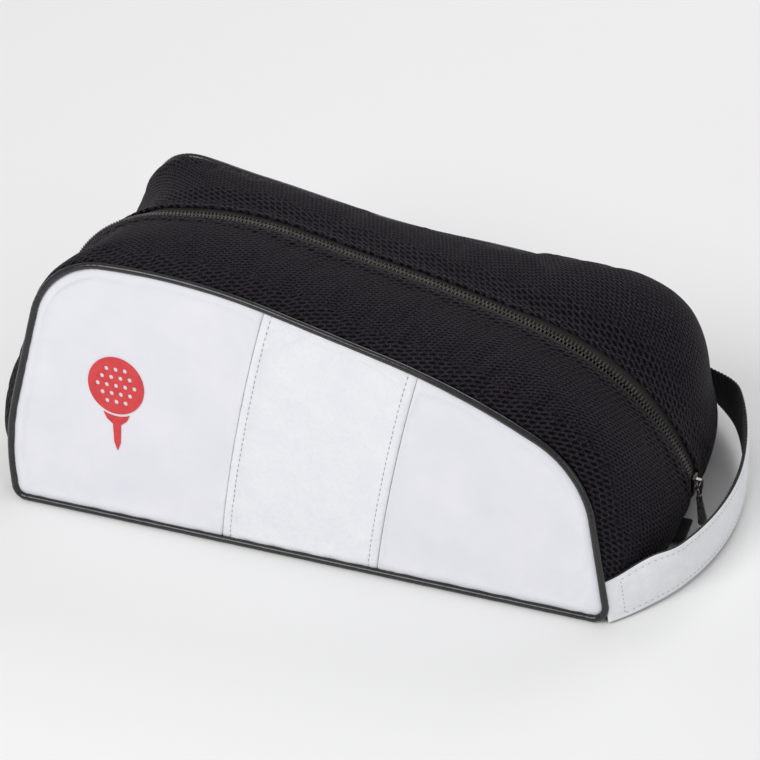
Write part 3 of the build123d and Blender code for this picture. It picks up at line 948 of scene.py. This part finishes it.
def make_top(name, points):
    side = SIDES[name]
    t, distance = top_grid(side)
    middle = points.reshape(TOP_ROWS, TOP_COLUMNS, 3)
    along, across = np.gradient(middle, axis=0), np.gradient(middle, axis=1)
    normal = unit(np.cross(along, across)) * -side
    if np.mean(np.sum(normal * outward(t), -1)) < 0:
        normal = -normal
    from_hem = distance - HEM_EDGE[side]
    from_piping = half_breadth(t, side) - distance
    fold = 0.75 * MM * smooth((HEM_WIDTH - from_hem) / (0.8 * MM) + 1)
    groove = 0.45 * MM * bell(from_hem, STITCH_FROM_HEM, 0.55 * MM)
    pucker = 0.3 * MM * np.exp(-from_piping / (6 * MM)) * np.sin(t * centre_path.length / (2.4 * MM))
    outer = middle + normal * (fold - groove + pucker)[..., None]
    inner = middle - normal * MESH_THICKNESS
    reach = np.cumsum(norm(np.diff(middle, axis=1, prepend=middle[:, :1])), axis=1)
    weave = np.stack([t * centre_path.length, reach, from_piping], -1)
    piece = make_shell(f"mesh_half_{name}", outer, inner, MESH_FABRIC, weave, level=1)
    surface = Surface(piece)
    fold_with_half(piece, name, "mesh", f"mesh_top_{name}")
    return surface


def sew_hem(name, surface):
    side = SIDES[name]
    length = centre_path.length
    t = np.arange(12 * MM, length - 12 * MM, 3.2 * MM) / length
    _, along, _, out = zipper_frame(t, side)
    points = surface.under(top_point(t, HEM_EDGE[side] + STITCH_FROM_HEM + 0 * t, side), out)
    piece = stitches(f"hem_stitches_{name}", points, along, out, BLACK_THREAD, 2.4 * MM, 0.55 * MM)
    fold_with_half(piece, name, "mesh")


# ---------------------------------------------------------------- zipper
TOOTH_PITCH = 2.3 * MM
COIL_START = 25.9 * MM
COIL_END_MARGIN = 27 * MM
TAPE_MARGIN = 3 * MM
TAPE_OUTER = 11.5 * MM
TAPE_INNER = 1.4 * MM
TAPE_THICKNESS = 0.55 * MM


def make_tape(name):
    side = SIDES[name]
    length = centre_path.length
    t = np.linspace(TAPE_MARGIN / length, 1 - TAPE_MARGIN / length, 300)[:, None]
    across = np.array([TAPE_INNER, 2.4 * MM, 3.0 * MM, 3.6 * MM, 5 * MM, 6.5 * MM, 8 * MM, 10 * MM, TAPE_OUTER])
    t = t + 0 * across
    across = across + 0 * t
    sunk = 1.75 * MM + 0.75 * MM * smooth((3.4 * MM - across) / (0.9 * MM))
    ruffle = 0.12 * MM * np.sin(t * length / (3.1 * MM)) * smooth((across - 3 * MM) / (5 * MM))
    outer = top_point(t, across, side, sunk + ruffle)
    inner = top_point(t, across, side, sunk + ruffle + TAPE_THICKNESS)
    weave = np.stack([t * length, across, 0 * t], -1)
    piece = make_shell(f"woven_tape_{name}", outer, inner, TAPE, weave, level=1)
    fold_with_half(piece, name, "zipper_tape", f"zipper_tape_{name}")


def tooth():
    """One loop of the coil: a rounded bar that is fuller at its head. x is along the chain."""
    stations = np.array([-0.85, -0.7, -0.35, 0.1, 0.6, 1.4, 2.1, 2.45, 2.6]) * MM
    wide = np.array([0.14, 0.44, 0.56, 0.56, 0.54, 0.52, 0.52, 0.42, 0.12]) * MM
    tall = np.array([0.25, 0.72, 0.92, 0.90, 0.74, 0.74, 0.74, 0.60, 0.20]) * MM
    points = np.stack([0 * stations, stations, 0 * stations], -1)
    ones = np.ones((len(stations), 1))
    return tube(points, ones * [1.0, 0, 0], ones * [0, 0, 1.0], wide, tall, 8)


def make_coil(name):
    side = SIDES[name]
    length = centre_path.length
    offset = TOOTH_PITCH / 2 if side > 0 else 0
    reach = np.arange(COIL_START + 1 * MM + offset, length - COIL_END_MARGIN, TOOTH_PITCH)
    centre, along, across, out = zipper_frame(reach / length, side)
    frames = np.stack([along, across, out], 1)
    shape, faces = tooth()
    vertices, joined = copies(shape, faces, centre - out * TRACK_DEPTH, frames)
    piece = make_piece(f"coil_teeth_{name}", vertices, joined, COIL)
    fold_with_half(piece, name, "zipper_coil", f"zipper_coil_{name}")

    reach = np.arange(COIL_START, length - COIL_END_MARGIN, TOOTH_PITCH / 4)
    centre, along, across, out = zipper_frame(reach / length, side)
    lift = 0.3 * MM + 0.16 * MM * np.cos((reach - reach[0]) / TOOTH_PITCH * 2 * np.pi)
    points = centre - out * TRACK_DEPTH + across * 2.75 * MM + out * lift[:, None]
    vertices, faces = tube(points, across, out, 0.3 * MM, 0.24 * MM, 6)
    seam = make_piece(f"coil_thread_{name}", vertices, faces, BLACK_THREAD)
    fold_with_half(seam, name, "zipper_tape")


# ---------------------------------------------------------------- handle
STRAP_THICK, BACKING_THICK = 1.3 * MM, 1.2 * MM
STRAP_REACH_Y = 100.3 * MM
STRAP_FREE_Y = 62 * MM
NARROW_SHARE, NARROW_START_Y, NARROW_LENGTH = 0.27, 74 * MM, 26 * MM
TOE_EDGE_SLOPE = 0.22
STITCH_INSET = 3 * MM
RIB_PITCH = 2.1 * MM
STRAP_RADIUS = (HALF_WIDTH**2 + STRAP_BOW**2) / (2 * STRAP_BOW)
FACE_ROWS = [0, 0.25, 0.8, 1.8, 2.6, 3.0, 3.4, 4.4, 7, 11, 15, 19, 23, 25.6, 26.6, 27, 27.4, 28.2, 29.2, 29.75, 30]
BACKING_ROWS = [0.6, 0.9, 1.4, 3, 10, 20, 27, 28.6, 29.2, 29.5]


def strap_frame(y):
    """The angle along the strap's arc, with the directions out of it and along it."""
    angle = np.arcsin(y / STRAP_RADIUS)
    return angle, in_plane(np.cos(angle), np.sin(angle)), in_plane(-np.sin(angle), np.cos(angle))


def strap_point(y, z, depth):
    """A point of the strap: z is its height on the band, depth is from the band's outer face."""
    height = z + STRAP_FAR_RISE * smooth(y / STRAP_RISE_LENGTH) + STRAP_BOTTOM
    height = height * (1 - NARROW_SHARE * smooth((-y - NARROW_START_Y) / NARROW_LENGTH))
    sewn = smooth((np.abs(y) - STRAP_FREE_Y) / (STRAP_REACH_Y - STRAP_FREE_Y))
    lean = np.where(y < 0, math.tan(LEAN[-1]), math.tan(LEAN[1]))
    shear = np.stack([-TOE_EDGE_SLOPE * height * sewn, -np.sign(y) * lean * height * sewn, height], -1)
    middle = np.array([STRAP_X + STRAP_BOW - STRAP_RADIUS, 0, 0])
    return middle + strap_frame(y)[1] * (STRAP_RADIUS - depth)[..., None] + shear


def strap_grid(columns, rows):
    """The grid of a layer of the strap, with its weave."""
    along = np.linspace(-STRAP_REACH_Y, STRAP_REACH_Y, columns)
    y, z = np.meshgrid(along, np.array(rows) * MM, indexing="ij")
    return y, z, in_plane(strap_frame(y)[0] * STRAP_RADIUS, z)


def sew_strap(name, surface, y, z, thickness, upright=False):
    """Stitches on the strap's face, along it or upright."""
    _, out, along = strap_frame(y)
    along = np.broadcast_to([0.0, 0.0, 1.0], out.shape) if upright else along
    points = surface.under(strap_point(y, z, 0 * y), out)
    return stitches(name, points, along, out, WHITE_THREAD, 1.6 * MM, thickness)


def make_strap():
    y, z, weave = strap_grid(170, FACE_ROWS)
    edge = np.minimum(z, STRAP_HEIGHT - z)
    pillow = 0.35 * MM * smooth((edge - STITCH_INSET) / (5 * MM))
    groove = 0.3 * MM * bell(edge, STITCH_INSET, 0.45 * MM)
    rolled = 0.45 * MM * (1 - smooth(edge / (0.8 * MM)))
    ends = smooth((STRAP_REACH_Y - np.abs(y)) / (6 * MM))
    outer = strap_point(y, z, groove + rolled - pillow * ends + 0.05 * MM)
    inner = strap_point(y, z, STRAP_THICK - rolled * 0.6)
    face = make_shell("strap_face", outer, inner, STRAP_PU, weave, level=1)
    surface = Surface(face)

    y, z, weave = strap_grid(700, BACKING_ROWS)
    rib = np.sin(y / RIB_PITCH * 2 * np.pi)
    proud = smooth((y + 45 * MM) / (50 * MM)) * smooth((z - 27 * MM) / (2 * MM))
    serrated = z + proud * (1.4 + 0.5 * rib) * MM
    outer = strap_point(y, serrated, STRAP_THICK + 0 * rib)
    inner = strap_point(y, serrated, STRAP_THICK + BACKING_THICK + 0.18 * MM * rib)
    backing = make_shell("strap_backing", outer, inner, RIBBED, weave)

    span = np.arange(-STRAP_REACH_Y + 8 * MM, STRAP_REACH_Y - 8 * MM, 3.0 * MM)
    z = np.repeat([STITCH_INSET, STRAP_HEIGHT - STITCH_INSET], len(span))
    edge_rows = sew_strap("strap_stitches", surface, np.tile(span, 2), z, 0.42 * MM)
    span = np.linspace(4.5 * MM, STRAP_HEIGHT - 4.5 * MM, 8)
    y = np.repeat([-1, 1], len(span)) * (STRAP_REACH_Y - 7 * MM)
    bars = sew_strap("strap_end_stitches", surface, y, np.tile(span, 2), 0.45 * MM, upright=True)

    for piece in (face, backing, edge_rows, bars):
        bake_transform(piece)
    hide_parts("handle_face")
    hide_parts("handle_backing")


# ---------------------------------------------------------------- mark
DIMPLE_PITCH, DIMPLE_R, DIMPLE_MARGIN = 5.6 * MM, 1.35 * MM, 3 * MM


def ring_points(centre, radius, count):
    angles = np.arange(count) / count * 2 * np.pi
    return np.array(centre) + radius * np.stack([np.cos(angles), np.sin(angles)], -1)


def filled(outline, holes, spacing=0.9 * MM):
    """Triangles that fill an outline with holes, with a lattice of points inside."""
    low, high = outline.min(0), outline.max(0)
    lattice = np.meshgrid(*(np.arange(a, b, spacing) for a, b in zip(low, high)))
    rings = [outline, *holes]
    points = np.vstack([*rings, np.stack(lattice, -1).reshape(-1, 2)])
    edges, start = [], 0
    for ring in rings:
        count = len(ring)
        edges += [(start + k, start + (k + 1) % count) for k in range(count)]
        start += count
    made = delaunay_2d_cdt([Vector(p) for p in points / MM], edges, [], 1, 1e-5)
    vertices = np.array([tuple(v) for v in made[0]]) * MM
    centres = [(hole.mean(0), norm(hole[0] - hole.mean(0))) for hole in holes]
    faces = []
    for face in made[2]:
        middle = vertices[list(face)].mean(0)
        if all(norm(middle - centre) > radius * 0.97 for centre, radius in centres):
            faces.append(list(face))
    used = sorted({i for face in faces for i in face})
    renumber = {old: new for new, old in enumerate(used)}
    return vertices[used], [[renumber[i] for i in face] for face in faces]


def make_mark(surface):
    """A golf ball on a tee, raised vinyl laid on the near heel panel."""
    centre = (MARK_X, MARK_S)
    holes = []
    for row in range(-4, 5):
        for column in range(-4, 5):
            spot = np.array([column + row / 2, row * math.sqrt(3) / 2]) * DIMPLE_PITCH
            if norm(spot) < BALL_R - DIMPLE_MARGIN:
                holes.append(ring_points(np.array(centre) + spot, DIMPLE_R, 20))
    ball = filled(ring_points(centre, BALL_R, 96), holes)
    top = MARK_S - BALL_R + 1.5 * MM
    arc = np.linspace(-0.44, 0.44, 15)
    cup = np.array(centre) + (BALL_R + 1.6 * MM) * np.stack([np.sin(arc), -np.cos(arc)], -1)
    stem = [(6.0, -5.2), (2.4, -8.0), (1.9, -19), (0, -24), (-1.9, -19), (-2.4, -8.0), (-6.0, -5.2)]
    tee = filled(np.vstack([cup, np.array([MARK_X, top]) + np.array(stem) * MM]), [])
    vertices, faces = [], []
    for flat, triangles in (ball, tee):
        faces += [[i + sum(map(len, vertices)) for i in face] for face in triangles]
        vertices.append(flat)
    flat = np.vstack(vertices)
    normal = side_normal(-1)
    laid = surface.under(on_side(flat, 0, -1), normal) + normal * 0.55 * MM
    piece = make_piece("ball_on_tee", laid, faces, RED_VINYL, in_plane(*flat.T))
    thick = piece.modifiers.new("thickness", "SOLIDIFY")
    thick.thickness = 0.7 * MM
    thick.offset = -1 if piece.data.polygons[0].normal.dot(Vector(normal)) > 0 else 1
    soft_edge = piece.modifiers.new("soft_edge", "BEVEL")
    soft_edge.width = 0.16 * MM
    soft_edge.segments = 2
    soft_edge.angle_limit = math.radians(50)
    fold_with_half(piece, "near", "red_vinyl", "ball_mark")


# ---------------------------------------------------------------- base lining
BASE_HALF = 93 * MM
BASE_HEEL, HEEL_BULGE = -171 * MM, -9 * MM
BASE_TOE, TOE_BULGE = 172 * MM, 12 * MM
BOARD_TOP = 3 * MM


def make_base_lining():
    """The cloth glued over the base board, slightly loose between its edges."""
    across = np.linspace(-1, 1, 60)[:, None]
    bow = 1 - across**2
    heel, toe = BASE_HEEL + HEEL_BULGE * bow, BASE_TOE + TOE_BULGE * bow
    share = np.linspace(0, 1, 110)[None]
    x, y = heel + (toe - heel) * share, BASE_HALF * across + 0 * share
    inside = smooth(np.minimum(1 - np.abs(across), 2 * np.minimum(share, 1 - share)) / 0.1)
    loose = 0.25 * MM * inside * (1 + np.sin(x * 70 + 3 * np.sin(y * 45)) * np.sin(y * 90))
    low, cloth = (np.stack([x, y, z + 0 * x], -1) for z in (BOARD_TOP, BOARD_TOP + LINING + loose))
    piece = make_shell("base_lining_cloth", cloth, low, LINING_CLOTH, in_plane(x, y))
    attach(piece, "base")
    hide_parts("base_lining")


# ---------------------------------------------------------------- CAD nodes that stay
def finish_node(node, material, bevel=0.0):
    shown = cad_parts[node]
    if not shown.material_slots:
        shown.data.materials.append(material)
    for slot in shown.material_slots:
        slot.material = material
    if bevel:
        weld = shown.modifiers.new("weld", "WELD")
        weld.merge_threshold = 0.005 * MM
        rounded = shown.modifiers.new("rounded", "BEVEL")
        rounded.width = bevel
        rounded.segments = 2
        rounded.angle_limit = math.radians(35)


def finish_cad_nodes():
    for node in ("zipper_slider", "slider_bridge", "puller"):
        finish_node(node, GUNMETAL, 0.14 * MM)
    for node in ("pull_ring", "zipper_top_stops", "zipper_bottom_stop"):
        finish_node(node, GUNMETAL)
    base_piping = piping_vinyl("piping_vinyl_base", space=True)
    for node in ("base_piping_toe", "base_piping_heel"):
        finish_node(node, base_piping)
    finish_node("bottom_panel", BASE_PU)
    finish_node("base_board", FIBRE_BOARD)
    finish_node("toe_tab", RIBBED_TAB)


# ---------------------------------------------------------------- stage
FLOOR_HALF = 6.0
# name, place, what it points at, size in metres and power in watts
LAMPS = [
    ("key", (-0.7, -1.3, 1.5), (0, 0, 0.06), 1.1, 20),
    ("fill", (1.5, -0.9, 0.9), (0.05, 0, 0.06), 1.0, 4),
    ("rim", (0.2, 1.4, 1.3), (0, 0, 0.08), 0.9, 8),
]
CAMERA_TURNS = 23.93, 38.06, 4.73
CAMERA_OFFSET = -8.47, -38.22, 1338.2


def make_stage():
    corners = np.array([(-1, -1, 0), (1, -1, 0), (1, 1, 0), (-1, 1, 0)]) * FLOOR_HALF
    floor = make_piece("floor", corners, [[0, 1, 2, 3]], Finish("floor", (0.93, 0.93, 0.93), 0.9).material)

    world = bpy.data.worlds.new("studio")
    world.use_nodes = True
    sky = world.node_tree.nodes["Background"].inputs
    sky[0].default_value = (1, 1, 1, 1)
    sky[1].default_value = 0.46
    bpy.context.scene.world = world

    for name, place, target, width, power in LAMPS:
        data = bpy.data.lights.new(name, "AREA")
        data.size = width
        data.energy = power
        light = bpy.data.objects.new(name, data)
        light.location = place
        light.rotation_euler = (Vector(target) - Vector(place)).to_track_quat("-Z", "Y").to_euler()
        bpy.context.scene.collection.objects.link(light)
    bpy.context.scene.view_settings.view_transform = "Standard"


def make_camera():
    """The view is given by its turn, tilt and roll and the object's offset in the camera's axes."""
    (turn, tilt, roll), offset = np.radians(CAMERA_TURNS), np.array(CAMERA_OFFSET) * MM
    right = np.array([np.cos(turn), np.sin(turn), 0])
    forward = np.array([-np.sin(turn) * np.cos(tilt), np.cos(turn) * np.cos(tilt), -np.sin(tilt)])
    up = np.cross(right, forward)
    across, down = right * np.cos(roll) - up * np.sin(roll), right * np.sin(roll) + up * np.cos(roll)
    place = -(np.array([across, down, forward]).T @ offset)
    camera = bpy.data.objects.new("camera", bpy.data.cameras.new("camera"))
    camera.data.lens = 109.7
    camera.data.sensor_width = 36
    axes = Matrix([across, down, -forward]).transposed().to_4x4()
    camera.matrix_world = Matrix.Translation(place) @ axes
    bpy.context.scene.collection.objects.link(camera)
    bpy.context.scene.camera = camera


# ---------------------------------------------------------------- the bag
make_camera()
make_stage()

jobs, flats = {}, {}
for name, side in SIDES.items():
    for part in PARTS:
        flats[name, part], jobs[name, part] = panel_job(part, side)
    jobs[name, "top"] = top_job(side)
settled = dict(zip(jobs, simulate(list(jobs.values()))))

for name in SIDES:
    surfaces = make_panels(name, {part: (flats[name, part], settled[name, part]) for part in PARTS})
    sew_panels(name, surfaces)
    make_piping(name)
    make_inside(name)
    sew_hem(name, make_top(name, settled[name, "top"]))
    make_tape(name)
    make_coil(name)
    if name == "near":
        make_mark(surfaces["heel"])
make_strap()
make_base_lining()
finish_cad_nodes()
